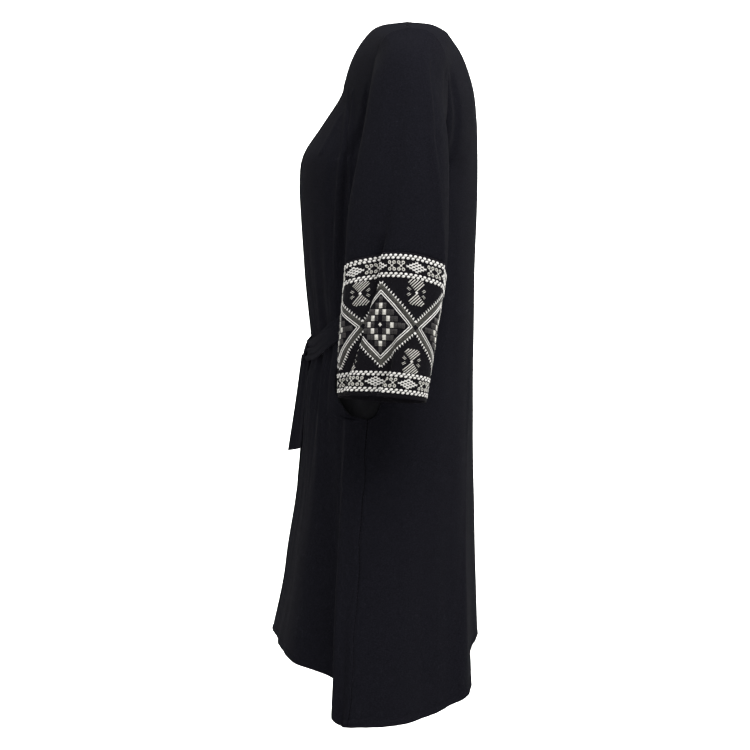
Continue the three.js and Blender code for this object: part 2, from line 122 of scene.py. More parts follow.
backSections = table(sectionColumns, [
    (80, 2, 0, 195, 2, -30, 2, 1, 0),
    (75, 34, -3, 193, 32, -36, 2, 1.3, 0),
    (50, 54, -10, 189, 50, -60, 2.1, 2, 0),
    (0, 64, -14, 184, 54, -88, 2.4, 2.6, 0),
    (0, 83, -42, 180, 54.5, -118, 2.4, 2.6, 0),
    (0, 98, -85, 177, 53, -149, 2.4, 2.4, 0),
    (0, 103, -127, 174, 44, -182, 2.4, 2.2, 0),
    (0, 104, -170, 173, 20, -208, 2.4, 2, 0),
    (0, 104, -212, 178, -25, -222, 2.5, 2, 0),
    (0, 103, -264, 181, -28, -270, 2.5, 2, 0),
    (0, 100, -348, 184, -34, -352, 2.5, 2, 0),
    (0, 99, -434, 189, -42, -434, 2.5, 2, 0),
    (0, 98, -496, 198, -48, -497, 2.5, 2, 0),
    (0, 98, -552, 208, -53, -559, 2.5, 2, 0),
    (0, 98, -612, 220, -57, -624, 2.4, 1.8, 0),
    (0, 99, -676, 237, -62, -702, 2.3, 1.6, 1),
    (0, 100, -740, 253, -67, -788, 2.25, 1.4, 3),
    (0, 102, -802, 268, -72, -874, 2.3, 1.3, 5),
    (0, 104, -858, 280, -78, -957, 2.35, 1.2, 11)])
hemRow = len(frontSections) - 1

# Folds and creases of a panel, from the front edge or centre back (0) to the side seam (1): heights of both ends,
# place across at both, how far they stand out (+) or fall in (-), and half widths on either side.
foldColumns = "start end atStart atEnd outStart outEnd before after"
frontFolds = table(foldColumns, [
    (-575, -960, 0.66, 0.66, -6, -46, 0.17, 0.17),
    (-575, -960, 0.88, 0.9, 2, -4, 0.09, 0.09),
    (-520, -930, 0.46, 0.44, 0, 6, 0.13, 0.13),
    (-520, -900, 0.24, 0.24, -2, -3, 0.12, 0.12),
    (-468, -690, 0.19, 0.17, -6, 0, 0.07, 0.07),
    (-462, -640, 0.42, 0.45, -6, 0, 0.08, 0.08),
    (-290, -452, 0.3, 0.22, 0, -6, 0.07, 0.07),
    (-260, -446, 0.5, 0.44, 0, -6, 0.08, 0.08),
    (-130, -400, 0.8, 0.72, -8, -3, 0.1, 0.1)])
frontCreases = table(foldColumns, [
    (-110, -192, 0.459, 0.749, 2.2, 3.2, 0.022, 0.05),  # two long ridges that hang from the shoulder
    (-203, -270, 0.767, 0.776, 3.2, 2.8, 0.022, 0.03),
    (-105, -192, 0.346, 0.695, 1.6, 2.8, 0.022, 0.035),
    (-204, -354, 0.712, 0.655, 2.8, 2.6, 0.022, 0.035),
    (-115, -192, 0.33, 0.655, -0.8, -2.2, 0.1, 0.03),  # and the hollows in front of them
    (-204, -354, 0.672, 0.615, -2.2, -2, 0.1, 0.03),
    (-130, -192, 0.505, 0.724, -0.8, -1.6, 0.022, 0.02),
    (-204, -330, 0.738, 0.72, -1.6, -2, 0.022, 0.025),
    (-150, -380, 0.84, 0.83, -1.2, -2.4, 0.04, 0.03),
    (-137, -190, 0.385, 0.475, 1.4, 2, 0.05, 0.035),  # the drag line over the bust
    (-790, -905, 0.28, 0.29, 0, 9, 0.14, 0.14),
    (-205, -300, 0.72, 0.6, 1.6, 0.6, 0.07, 0.06),
    (-250, -436, 0.13, 0.1, 0, -2.2, 0.03, 0.04),  # gathers above the sash
    (-310, -440, 0.2, 0.17, 0, -2.4, 0.03, 0.02),
    (-330, -440, 0.36, 0.31, 0, -2.6, 0.03, 0.04),
    (-345, -436, 0.58, 0.52, 0, -2.4, 0.05, 0.03),
    (-360, -430, 0.7, 0.66, 0, -1.8, 0.04, 0.04),
    (-474, -700, 0.11, 0.1, -0.8, 0, 0.02, 0.03),  # gathers below it
    (-472, -640, 0.145, 0.13, 3, 0, 0.02, 0.03),
    (-476, -760, 0.25, 0.23, 3.6, 0.8, 0.03, 0.022),
    (-470, -680, 0.31, 0.3, -3.8, 0, 0.03, 0.02),
    (-466, -740, 0.36, 0.36, 3.6, 0.6, 0.02, 0.035),
    (-464, -700, 0.43, 0.44, -3.4, 0, 0.02, 0.03),
    (-462, -660, 0.5, 0.52, 3.2, 0, 0.03, 0.03),
    (-456, -640, 0.57, 0.6, -3.2, 0, 0.035, 0.03),
    (-860, -975, 0.83, 0.85, -1, -6, 0.14, 0.14),
    (-780, -870, 0, 0.03, 0, 4.5, 0.1, 0.14),
    (-500, -962, 0.82, 0.84, 2, 6, 0.03, 0.07),  # the sharp leading edge of the side fold
    (-520, -962, 0.76, 0.75, -2, -11, 0.08, 0.03),
    (-470, -640, 0, 0, 3, 1, 0.08, 0.07),
    (-700, -930, 0.12, 0.15, 0.4, 1.5, 0.06, 0.08),
    (-730, -935, 0.34, 0.345, -0.5, -2, 0.06, 0.05),
    (-620, -940, 0.53, 0.55, 0.3, 2.5, 0.05, 0.06)])
backFolds = table(foldColumns, [
    (-110, -420, 0.74, 0.66, -4, -2, 0.11, 0.11),
    (-600, -950, 0.21, 0.22, -1, -7, 0.12, 0.12),
    (-560, -950, 0.41, 0.41, 1, 12, 0.13, 0.13),
    (-640, -950, 0.66, 0.66, -1, -8, 0.12, 0.12)])
backCreases = table(foldColumns, [
    (-100, -260, 0.3, 0.62, 1.2, 0.6, 0.09, 0.12),  # soft drag lines over the shoulder blade
    (-150, -330, 0.42, 0.72, -1.2, -0.8, 0.09, 0.1),
    (-260, -430, 0.84, 0.8, 0.4, 0.8, 0.08, 0.06),
    (-300, -520, 0.55, 0.5, -1.2, -0.8, 0.08, 0.07),
    (-380, -905, 0.2, 0.47, 0.8, 3.2, 0.07, 0.03),  # the long ridge down the back of the skirt
    (-560, -905, 0.27, 0.38, -0.6, -2.6, 0.04, 0.08),
    (-740, -950, 0.14, 0.14, -1, -6, 0.1, 0.1),
    (-740, -960, 0.42, 0.42, 0.5, 3, 0.12, 0.12),
    (-500, -940, 0.6, 0.62, 0.3, 1.6, 0.07, 0.09),
    (-690, -950, 0.76, 0.77, -0.4, -1.8, 0.07, 0.06),
    (-720, -945, 0.88, 0.89, 0.3, 1.6, 0.05, 0.07),
    (-610, -880, 0.06, 0.08, 0.2, 1.4, 0.06, 0.06)])

armholeFlats = ((frontSections, (1.6, 2.0, 2.1, 2.2, 2.1, 1.8, 1.5, 1.2)),
                (backSections, (1.3, 1.5, 1.6, 1.6, 1.6, 1.5, 1.35, 1.15)))
for sections, flats in armholeFlats:  # the cloth lies flatter beside the armhole
    for row, flat in zip(sections, flats):
        row["flat"] = flat


def sectionPoints(row, t):
    turn = t * math.pi / 2
    across = np.abs(np.sin(turn)) ** (2 / row["round"])
    ahead = np.maximum(0, np.cos(turn)) ** (2 / row["round"] * row.get("flat", 1))
    dip = row["dip"] * 9.48 * across ** 3 * (1 - across)  # 9.48 makes it the full dip, three quarters across
    return np.stack([mix(row["inX"], row["outX"], across * np.sign(t)), mix(row["outY"], row["inY"], ahead),
                     mix(row["inZ"], row["outZ"], across ** row["fall"]) - dip], axis=-1)


def panelForm(sections):  # the side seam starts afresh at the underarm
    over, under, following = sections[underarmRow - 1:underarmRow + 2]
    lead = dict(over, **{key: 2 * under[key] - following[key] for key in ("outX", "outY", "outZ")})

    def leadPoints(t):
        return mix(sectionPoints(over, t), sectionPoints(lead, t), between(t, 0.7, 1)[:, None])

    def form(t, v):
        if v < underarmRow:
            return through(lambda i: sectionPoints(sections[i], t), len(sections), v)
        lower = [None] + sections[underarmRow:]
        place = v - underarmRow + 1
        return through(lambda i: sectionPoints(lower[i], t) if i else leadPoints(t), len(lower), place)
    return form


def movedOut(form, side, t, v, distance):
    along = form(np.minimum(1, t + 0.01), v) - form(np.minimum(0.99, t - 0.01), v)
    out = unit(np.stack([-along[:, 1] * side, along[:, 0] * side, np.zeros(len(t))], axis=-1))
    return form(t, v) + out * np.reshape(distance, (-1, 1))


# how far a set of folds moves the cloth out; soft sets how fast their ends fade, and turn is a full circle of across
def foldsOut(folds, across, down, soft=8, turn=None):
    out = np.zeros(len(across))
    for fold in folds:
        along = (down - fold["start"]) / (fold["end"] - fold["start"])
        share = clamp01(along)
        fade = smooth(clamp01(1 + along * soft)) * smooth(clamp01(1 + (1 - along) * soft))
        away = across - mix(fold["atStart"], fold["atEnd"], share)
        if turn:
            away = np.mod(away + turn / 2, turn) - turn / 2
        out += mix(fold["outStart"], fold["outEnd"], share) * fade * skewBump(away, fold["before"], fold["after"])
    return out


def ripple(t, z, seed, size=0.7):  # the slight unevenness of hung cloth, in a few long waves
    waves = random.Random(seed)
    total = np.zeros(len(t))
    for _ in range(7):
        across, down = waves.uniform(4, 17), waves.uniform(0.004, 0.03)
        total += math.sqrt(4 / across) * np.sin(t * across + z * down + waves.uniform(0, 6.3))
    return total * size / 3


def hemPucker(t, toHem, seed):  # the stitched hem draws the cloth in and lets it swell between
    waves = random.Random(seed)
    total = np.zeros(len(t))
    for _ in range(5):
        total += np.sin(t * waves.uniform(45, 150) + waves.uniform(0, 6.3))
    stitched = np.exp(-((toHem - 11) / 2.2) ** 2)
    return total * 0.22 * np.exp(-toHem / 16) - 0.55 * stitched + 0.25 * (toHem < 9)


frontForm, backForm = panelForm(frontSections), panelForm(backSections)


def frontSurface(t, v, upper, distance):
    p = movedOut(frontForm, -1, t, v, distance)
    if upper:
        lift = mix(lap["edge"], lap["lift"], between(t, -0.05, 0.12))
        p[:, 1] -= lift * smooth(clamp01(v / 3)) * (1 - between(t, 0.2, 0.42))
    return p


def gape(z):
    middle, half = (mouth["top"] + mouth["foot"]) / 2, (mouth["top"] - mouth["foot"]) / 2
    return math.sqrt(max(0, 1 - ((z - middle) / half) ** 2))


def edgeShare(v):  # how far past the centre a front starts
    row = frontSections[min(hemRow, math.floor(v))]
    return -clamp01(v - neckRow + 1) * (2 / math.pi) * math.asin((lap["past"] / row["outX"]) ** (row["round"] / 2))


sewnShare = 1 - cloth["seam"] / 500  # leaves half the seam's gap at the side


def seamWander(z):  # how far the side seam strays from a straight line
    return 1.1 * np.sin(z / 21 + 0.7) + 0.6 * np.sin(z / 9.4)


def seamDip(shareFromSeam, v):  # the cloth turns in at a seam, hardly at all where the sleeve is eased in
    return -mix(0.2, 0.9, between(v, 3, 8)) * np.exp(-(shareFromSeam * 300 / 1.6) ** 2)


def lipShare(form, v, part):  # how far the pocket's mouth stands open beside this row
    return gape(form(np.array([1.0]), v)[0][2]) * mouth[part] if v >= underarmRow else 0


def stray(p, shares, t, v):  # the side seam and the shoulder seam are not quite straight
    atSide = seamWander(p[:, 2]) * between(shares, 0.85, 1) * between(v, mouthRow, mouthRow + 1)
    p[:, 1] += atSide + 2.0 * np.sin(3 * math.pi * clamp01(t)) * (1 - between(v, 0, 0.6))
    return p


# where the points of a panel lie across and down it, the share of a front that laps past the centre, the mm of cloth
# in one row of the section tables, and how strong the creases are on each side
panels = {"frontShares": steps((0, 0.07, 9), (0.07, 0.4, 26), (0.4, 0.82, 56), (0.82, 0.94, 10), (0.94, 0.985, 8),
                               (0.985, 1, 7)),
          "backShares": steps((0, 0.94, 68), (0.94, 0.985, 8), (0.985, 1, 7)),
          "places": steps((0, 4, 33), (4, 10.6, 66), (10.6, 13.2, 40), (13.2, 17.6, 52), (17.6, 18, 22)),
          "lapped": 0.07, "frontRow": 92, "backRow": 90, "creases": {1: 1.0, -1: 0.85}}


def frontRow(shares, v, upper, keep, seed):
    t = shares * sewnShare - lipShare(frontForm, v, "front") * smooth(clamp01((shares - 0.4) / 0.6))
    start, lapped = edgeShare(v), panels["lapped"]
    t = np.where(shares < lapped, mix(start, lapped * sewnShare, shares / lapped), t)
    z = frontForm(t, v)[:, 2]
    creases = foldsOut(frontCreases, t, z) * keep
    out = (foldsOut(frontFolds, t, z) + creases + ripple(t, z, seed)) * between(v, 0, 0.8)
    edge = -0.5 * np.exp(-((t - start) * 280 / 2.5) ** 2)
    hem = hemPucker(t, (hemRow - v) * panels["frontRow"], seed)
    p = frontSurface(t, v, upper, out + seamDip(1 - shares, v) + hem + edge)
    p[:, 2] -= 6 * bump((t - 0.87) / 0.12) * between(v, 16, hemRow)  # the side fold hangs lower at the hem
    return stray(p, shares, t, v)


def backRow(shares, v, side, keep, seed):
    t = shares * (sewnShare - lipShare(backForm, v, "back"))
    z = backForm(t, v)[:, 2]
    creases = foldsOut(backCreases, t, z) * keep * between(t, 0.0, 0.12)
    out = (foldsOut(backFolds, t, z) + creases + ripple(t * side, z, seed)) * between(v, 0, 0.8)
    hem = hemPucker(t * side, (hemRow - v) * panels["backRow"], seed)
    p = movedOut(backForm, 1, t, v, out + seamDip(1 - shares, v) + hem)
    p[:, 1] += cloth["seam"] * (1 - between(v, 0, 0.05))
    return stray(p, shares, t, v)


def newPiece(name, points, faces, material, uv=None, side=1, uvName="cloth"):
    if side < 0:
        points = points * [-1, 1, 1]
        faces = [face[::-1] for face in faces]
    mesh = bpy.data.meshes.new(name)
    mesh.from_pydata((points * mm).tolist(), [], faces)
    if uv is not None:
        layer = mesh.uv_layers.new(name=uvName)
        corners = np.zeros(len(mesh.loops), np.int32)
        mesh.loops.foreach_get("vertex_index", corners)
        layer.data.foreach_set("uv", (uv[corners] * mm).astype(np.float32).ravel())
    mesh.polygons.foreach_set("use_smooth", [True] * len(mesh.polygons))
    mesh.materials.append(material)
    piece = bpy.data.objects.new(name, mesh)
    bpy.context.scene.collection.objects.link(piece)
    return piece


def gridFaces(rows, columns, ring=False):
    faces = []
    for i in range(rows - 1):
        for j in range(columns if ring else columns - 1):
            a, b = i * columns + j, i * columns + (j + 1) % columns
            faces.append([a, a + columns, b + columns, b])
    return faces


def thicken(piece, thickness):
    wall = piece.modifiers.new("cloth thickness", "SOLIDIFY")
    wall.thickness = thickness * mm
    wall.offset = 1


def lengthsAlong(points, axis):  # running length of cloth along one way of a grid
    run = np.cumsum(np.linalg.norm(np.diff(points, axis=axis), axis=-1), axis=axis)
    return np.concatenate([np.zeros_like(np.take(run, [0], axis=axis)), run], axis=axis)


def clothUv(grid):
    across = lengthsAlong(grid, 1)
    down = lengthsAlong(grid, 0)
    return np.stack([across, down], axis=-1).reshape(-1, 2)


def finishPiece(piece, slot, *nodes):
    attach(piece, "root")
    if nodes:
        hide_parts(*nodes)
    return piece


def clothPiece(name, grid, material, thickness, slot, node, side=1, faces=None):  # a thin shell from rows of points
    faces = faces or gridFaces(*grid.shape[:2])
    piece = newPiece(name, grid.reshape(-1, 3), faces, material, clothUv(grid), side)
    thicken(piece, thickness)
    return finishPiece(piece, slot, node)


def colour(code):  # an sRGB hex value as linear red, green, blue and alpha
    parts = [int(code[i:i + 2], 16) / 255 for i in (1, 3, 5)]
    return tuple(c / 12.92 if c <= 0.04045 else ((c + 0.055) / 1.055) ** 2.4 for c in parts) + (1.0,)


def addNode(tree, kind, inputs=None, **settings):
    node = tree.nodes.new(kind)
    for name, value in settings.items():
        setattr(node, name, value)
    for name, value in (inputs or {}).items():
        if isinstance(value, bpy.types.NodeSocket):
            tree.links.new(value, node.inputs[name])
        else:
            node.inputs[name].default_value = value
    return node


def newMaterial(name, **skinValues):
    material = bpy.data.materials.new(name)
    material.use_nodes = True
    tree = material.node_tree
    skin = tree.nodes["Principled BSDF"]
    for key, value in skinValues.items():
        skin.inputs[key.replace("_", " ")].default_value = value
    return material, tree, skin


def clothMaterial(name, dark, light, grain, stretch, depth, roughness, specular):
    # grain is the size of the pebbles in mm, drawn coarser than the yarn so that it shows
    material, tree, skin = newMaterial(name, Roughness=roughness, Specular_IOR_Level=specular, Sheen_Weight=0.01,
                                       Sheen_Roughness=0.5)
    place = addNode(tree, "ShaderNodeTexCoord").outputs["Object"]
    sideways = addNode(tree, "ShaderNodeMapping", {"Vector": place, "Scale": stretch}).outputs["Vector"]
    pebble = addNode(tree, "ShaderNodeTexNoise", {"Vector": sideways, "Scale": 1000 / grain, "Detail": 3.0,
                                                  "Roughness": 0.6}).outputs["Fac"]
    tone = addNode(tree, "ShaderNodeMapRange", {"Value": pebble, "From Min": 0.3, "From Max": 0.7})
    ramp = addNode(tree, "ShaderNodeValToRGB", {"Fac": tone.outputs["Result"]})
    ramp.color_ramp.elements[0].color = colour(dark)
    ramp.color_ramp.elements[1].color = colour(light)
    tree.links.new(ramp.outputs["Color"], skin.inputs["Base Color"])
    raised = addNode(tree, "ShaderNodeBump", {"Height": pebble, "Distance": depth * mm, "Strength": 1.0})
    tree.links.new(raised.outputs["Normal"], skin.inputs["Normal"])
    return material


# polyester crepe, woven from hard-twisted yarn: matt and finely pebbled, with a faint pale bloom at the edges
crepe = clothMaterial("black polyester crepe", "#0d0d11", "#16161b", 2.2, (1, 1, 2.2), 0.3, 1.0, 0.0)
# the same crepe folded double, pressed a little smoother
sashCrepe = clothMaterial("pressed black crepe", "#0e0e12", "#17171c", 2.2, (1, 1, 2.0), 0.25, 0.95, 0.0)
# plain tight cotton that takes the light evenly
pocketing = clothMaterial("black cotton pocketing", "#0e0e10", "#17171a", 0.9, (1, 1, 1), 0.15, 0.95, 0.05)
# tight even-weave ground, blacker than the crepe
bandGround = clothMaterial("black even-weave ground", "#0a090c", "#151418", 1.1, (1, 1, 1), 0.25, 0.9, 0.03)


def threadMaterial(name, dark, light, strand, roughness, specular, sheen):
    # satin stitches lie side by side: strand is the width of one in mm, read along the piece's own map
    material, tree, skin = newMaterial(name, Roughness=roughness, Specular_IOR_Level=specular, Sheen_Weight=sheen)
    place = addNode(tree, "ShaderNodeUVMap", uv_map="thread").outputs["UV"]
    strands = addNode(tree, "ShaderNodeTexWave", {"Vector": place, "Scale": 1000 / (strand * 20), "Distortion": 0.6,
                                                  "Detail": 1.0}, wave_type="BANDS", bands_direction="X")
    uneven = addNode(tree, "ShaderNodeTexNoise", {"Vector": place, "Scale": 300.0, "Detail": 2.0})
    ramp = addNode(tree, "ShaderNodeValToRGB", {"Fac": uneven.outputs["Fac"]})
    ramp.color_ramp.elements[0].color, ramp.color_ramp.elements[0].position = colour(dark), 0.35
    ramp.color_ramp.elements[1].color, ramp.color_ramp.elements[1].position = colour(light), 0.65
    tree.links.new(ramp.outputs["Color"], skin.inputs["Base Color"])
    raised = addNode(tree, "ShaderNodeBump", {"Height": strands.outputs["Fac"], "Distance": 0.12 * mm,
                                              "Strength": 0.8})
    tree.links.new(raised.outputs["Normal"], skin.inputs["Normal"])
    return material


# mercerised cotton thread: a soft lustre along each satin stitch
whiteThread = threadMaterial("off-white embroidery cotton", "#bbb9b4", "#dcdad7", 0.4, 0.5, 0.4, 0.2)
creamThread = threadMaterial("unbleached embroidery cotton", "#a9a7a0", "#c4c2bb", 0.4, 0.55, 0.3, 0.1)
greyThread = threadMaterial("olive grey embroidery cotton", "#302f2b", "#48463f", 0.4, 0.6, 0.35, 0.15)
brownThread = threadMaterial("brown black embroidery cotton", "#1d1a1a", "#2b2626", 0.4, 0.6, 0.35, 0.15)
# polyester sewing thread, matt, painted darker than the cloth: black thread plus painted shade where the stitches
# draw the cloth in
sewingThreadPaintedShade = threadMaterial("black sewing thread", "#060607", "#0d0d0f", 0.3, 0.9, 0.0, 0.0)
print("materials made")


def makeFront(side, seed):  # the right front laps over the left one
    tag, keep = tags[side], panels["creases"][side]
    grid = np.array([frontRow(panels["frontShares"], v, side < 0, keep, seed) for v in panels["places"]])
    piece = clothPiece("front" + tag, grid, crepe, cloth["crepe"], "crepe", "front_" + tag.lower(), side)


def makeBack(seed):  # two mirrored halves that are one cloth from the nape down
    shares, places = panels["backShares"], panels["places"]
    points, uv, index, faces = [], [], {}, []
    for side in tags:
        half = np.array([backRow(shares, v, side, panels["creases"][side], seed) for v in places]) * [side, 1, 1]
        flat = clothUv(half).reshape(*half.shape[:2], 2) * [side, 1]
        for i, v in enumerate(places):
            for j in range(len(shares)):
                key = ("centre" if j == 0 and v >= napeRow else side, i, j)
                if key not in index:
                    index[key] = len(points)
                    points.append(half[i][j])
                    uv.append(flat[i][j])
                index[(side, i, j)] = index[key]
        for i in range(len(places) - 1):
            for j in range(len(shares) - 1):
                face = [index[(side, *corner)] for corner in ((i, j), (i, j + 1), (i + 1, j + 1), (i + 1, j))]
                faces.append(face if side > 0 else face[::-1])
    piece = newPiece("backPanel", np.array(points), faces, crepe, np.array(uv))
    thicken(piece, cloth["crepe"])
    finishPiece(piece, "crepe", "back")


makeFront(1, 3)
makeFront(-1, 8)
makeBack(5)
print("fronts and back made")

sleeve = {"bandSeam": 4, "cuff": 6, "seamGap": 0.0025, "bandRows": 88, "creases": {1: 1.0, -1: 0.8},
          "seeds": {1: 21, -1: 22}, "tuckLip": 9, "tuckLead": 36}  # degrees across a tuck's lip, and in front of it
sleeveRings = table("outX outY outZ inX inY inZ half lean", [
    (241, 0, -76, 187, -8, -237, 53, 2),
    (270, 0, -146, 191, -13, -258, 59, 2),
    (295, -5, -238, 199, -20, -308, 65, 1),
    (311, -13, -340, 209, -19, -386, 65.5, 2),
    (314, -25, -434, 215, -28, -461, 62, 3),
    (307, -34, -526, 219, -35, -534, 57.5, 4)])
# Folds of a sleeve between two rings: angles from the outer side towards the back, how far out, and half widths
# towards the front and towards the back in degrees.
sleeveFolds = table(foldColumns, [
    (0.6, 5.2, 30, 64, 1, 4, 24, 24),
    (2.2, 6.2, -12, -34, -1, -6, 20, 20),
    (0.8, 4.6, -62, -60, 2, 4, 24, 24)])
sleeveCreases = table(foldColumns, [
    (1.6, 4, -10, -25, -0.5, -3, 34, 20),  # the trough that runs down into the upper tuck
    (0.9, 2, 29, 30, 1.4, 1.8, 12, 7),  # the sharp ridge towards the back, and the hollow behind it
    (2.4, 3.9, 31, 58, 1.8, 2.2, 12, 7),
    (0.9, 2, 37, 38, -1.6, -2.2, 7, 38),
    (2.4, 3.9, 39, 66, -2.2, -2.2, 7, 30),
    (1.4, 3.8, -54, -70, 0.4, 2.6, 8, 14),  # the lit front edge and the shadow beside it
    (0.3, 2.8, -86, -84, -8, -2, 50, 40),
    (1.2, 3.6, -74, -84, -0.6, -3, 8, 8),
    (0.3, 1.6, 66, 80, -1.8, -0.6, 8, 12),
    (1.2, 3.9, 96, 112, -2, -3, 14, 14),
    (1, 4, 140, 150, -2, -3, 16, 16),
    (1, 4, -120, -135, -2, -3, 16, 16),
    (4, 6.2, 110, 120, -2, -3, 16, 16),
    (3, 6.2, -150, -160, -1.5, -3, 18, 18)])

# Where the cloth of the sleeve is tucked under itself: the place down the sleeve, the angle of the lip, how far in
# the lower layer lies, and how far it is drawn under the lip.
tuckColumns = "place angle drop under"
tucks = [table(tuckColumns, [(3.3, -14, 0, 0), (3.75, -16, 3, 0.8), (3.97, -18, 9, 4.5), (4.15, -19, 12, 6.5),
                             (4.5, -18, 12, 5.5), (4.75, -25, 12, 5.5), (5, -30, 13, 6.5), (5.3, -36, 12, 7),
                             (5.6, -44, 13, 9.5), (5.8, -52, 12, 9), (6, -59, 11, 6.5)]),
         table(tuckColumns, [(4.75, 15, 0, 0), (5.2, 11, 9, 1.5), (5.6, 11, 13, 3.5), (5.85, 2, 13, 4.5),
                             (6, -6, 12, 4)])]
sleeveAngles = steps((180, 282, 40), (282, 396, 104), (396, 432, 34), (432, 540, 34))[:-1]  # closest at the tucks
sleeveMiddles = [np.array([186.0, 0, 0])] + [np.array([(r["inX"] + r["outX"]) / 2, (r["inY"] + r["outY"]) / 2, 0])
                                             for r in sleeveRings]


def tucked(angle, place, share):  # how far the tucks move the cloth out and towards the back
    out, back = np.zeros(len(angle)), np.zeros(len(angle))
    for tuck in tucks:
        lip, drop, under = [np.interp(place, [row["place"] for row in tuck], [row[name] for row in tuck])
                            for name in ("angle", "drop", "under")]
        away = np.mod(angle - lip + 180, 360) - 180
        across = np.clip(away / sleeve["tuckLip"], -1, 1)
        lead = smooth(clamp01(1 + (away + sleeve["tuckLip"]) / sleeve["tuckLead"]))
        out -= drop * share * (1 - smooth((across + 1) / 2)) * lead
        back -= under * share * np.sin(math.pi * across)
    return out, back


def armholePoints(angle):
    points = np.zeros((len(angle), 3))
    for n, a in enumerate(np.mod(angle, 360)):
        rows = backSections if a <= 180 else frontSections
        place = (a if a <= 180 else 360 - a) / 180 * underarmRow
        points[n] = through(lambda i: sectionPoints(rows[i], np.array([1.0]))[0], len(rows), place)
        points[n][0] += mix(0.5, 1.1, min(1, place / 4))
    return points


armhole = armholePoints(sleeveAngles)


def ringPoints(ring, angle):
    turn = np.radians(angle)
    out = (1 + np.cos(turn)) / 2
    return np.stack([mix(ring["inX"], ring["outX"], out),
                     mix(ring["inY"], ring["outY"], out) + ring["half"] * np.sin(turn),
                     mix(ring["inZ"], ring["outZ"], out) - ring["lean"] * np.sin(turn)], axis=-1)


def sleeveRow(place, keep, seed):
    angle, rows = sleeveAngles, len(sleeveMiddles)
    p = through(lambda i: ringPoints(sleeveRings[i - 1], angle) if i else armhole, rows, place)
    out = unit((p - through(lambda i: sleeveMiddles[i], rows, place)) * [1, 1, 0])
    depth = foldsOut(sleeveFolds, angle, place, 4, 360) + foldsOut(sleeveCreases, angle, place, 4, 360) * keep
    depth = depth * between(place, 0, 0.25) + ripple(angle / 90, p[:, 2], seed, 0.5) * min(1, place)
    gathers = np.sin(np.radians(angle * 17 + 40)) + np.sin(np.radians(angle * 29))
    depth += 0.25 * gathers * math.exp(-place / 0.3) * min(1, place * 12)  # eased into the armhole
    atBand, atArmhole = (place - sleeve["bandSeam"]) / 0.016, place / 0.03
    depth -= 0.9 * math.exp(-atBand ** 2) + 0.15 * math.exp(-atArmhole ** 2)  # the seams draw the cloth in
    tuckOut, tuckBack = tucked(angle, place, keep)
    aside = np.stack([-out[:, 1], out[:, 0], np.zeros(len(angle))], axis=-1)
    return p + out * (depth + tuckOut)[:, None] + aside * tuckBack[:, None]


# a sleeve, or the cuff band that carries it on below the seam
def makeTube(name, places, side, material, thickness, slot, node):
    grid = np.array([sleeveRow(place, sleeve["creases"][side], sleeve["seeds"][side]) for place in places])
    faces = gridFaces(*grid.shape[:2], ring=True)
    node += tags[side].lower()
    return clothPiece(name + tags[side], grid, material, thickness, slot, node, side, faces), grid


seam, gap = sleeve["bandSeam"], sleeve["seamGap"]
for side, tag in tags.items():
    places = steps((0, 0.3, 14), (0.3, 3.9, 70), (3.9, seam - gap, 12))
    piece, _ = makeTube("sleeve", places, side, crepe, cloth["crepe"], "crepe", "sleeve_")
places = np.linspace(seam + gap, sleeve["cuff"], sleeve["bandRows"])
bands = {side: makeTube("cuffBand", places, side, bandGround, cloth["band"], "embroidered_band", "cuff_band_")
         for side in tags}
print("sleeves and bands made")

# Needlework of the cuff bands, laid out flat: u runs round the band, v down from its seam, in mm. It is a common
# geometric chart: two borders of twisted cord, each with lozenges and groups of rings, and a field of stepped
# diamonds that touch, with a pair of fans in each gap between them.
chart = {"length": 187, "pitch": 94, "middle": 92.8, "height": 0.45, "sunk": 0.08, "joint": 47, "cordPitch": 6.5,
         "cords": (5.6, 28.5, 156.5, 178.0), "borders": (17.0, 167.2), "borderPitch": 53.4, "lozenge": (15.8, 7.3),
         "fans": 44.5, "step": (5.06, 8.2), "square": (4.7, 7.0), "field": (38.2, 39.6), "hatchPitch": 1.2,
         "whiteLines": ((42.3, 44.6, 1.5), (38.7, 41.0, 1.3)), "hatched": ((44.2, 46.4), (51.8, 53.8)),
         "hatchReach": 47.3, "tooth": (4.3, 2.9, 3.7), "toothReach": 46.2}
grainTurn = [20.5, 26.9, 32.5, 33.3, 31.0]  # where the joint between two diamonds lies down the band, in degrees


def bandMap(grid):  # turns a place on the flat chart into a place on the band
    rows = len(grid)
    around = np.concatenate([grid[:, -1:], grid, grid[:, :1]], axis=1)
    normal = unit(np.cross(np.gradient(grid, axis=0), (around[:, 2:] - around[:, :-2]) / 2))
    skin = np.concatenate([grid + normal * cloth["band"], normal], axis=2)  # places and normals in one table
    skin = np.concatenate([skin, skin[:, :1]], axis=1)
    turn = np.append(sleeveAngles, 540.0) - 360
    flat = np.arange(-240, 240, 0.5)
    spread, ends = np.zeros((rows, len(flat), 6)), np.zeros((rows, 2))
    for i in range(rows):
        run = lengthsAlong(skin[i][None, :, :3], 1)[0]
        joint = through(lambda k: grainTurn[k], 5, i / (rows - 1) * 4)
        u = run - np.interp(joint, turn, run) + chart["joint"]
        ends[i] = u[0], u[-1]
        for axis in range(6):
            spread[i, :, axis] = np.interp(flat, u, skin[i, :, axis])

    def place(points):  # points are rows of u, v and height
        u, v, height = points.T
        row = clamp01(v / chart["length"]) * (rows - 1)
        column = np.clip((u - flat[0]) / 0.5, 0, len(flat) - 2)
        i, j = np.minimum(row.astype(int), rows - 2), column.astype(int)
        a, b = (row - i)[:, None], (column - j)[:, None]
        found = mix(mix(spread[i, j], spread[i + 1, j], a), mix(spread[i, j + 1], spread[i + 1, j + 1], a), b)
        low, high = mix(ends[i], ends[i + 1], a).T
        return found[:, :3] + unit(found[:, 3:]) * height[:, None], (u > low + 1) & (u < high - 1)
    return place


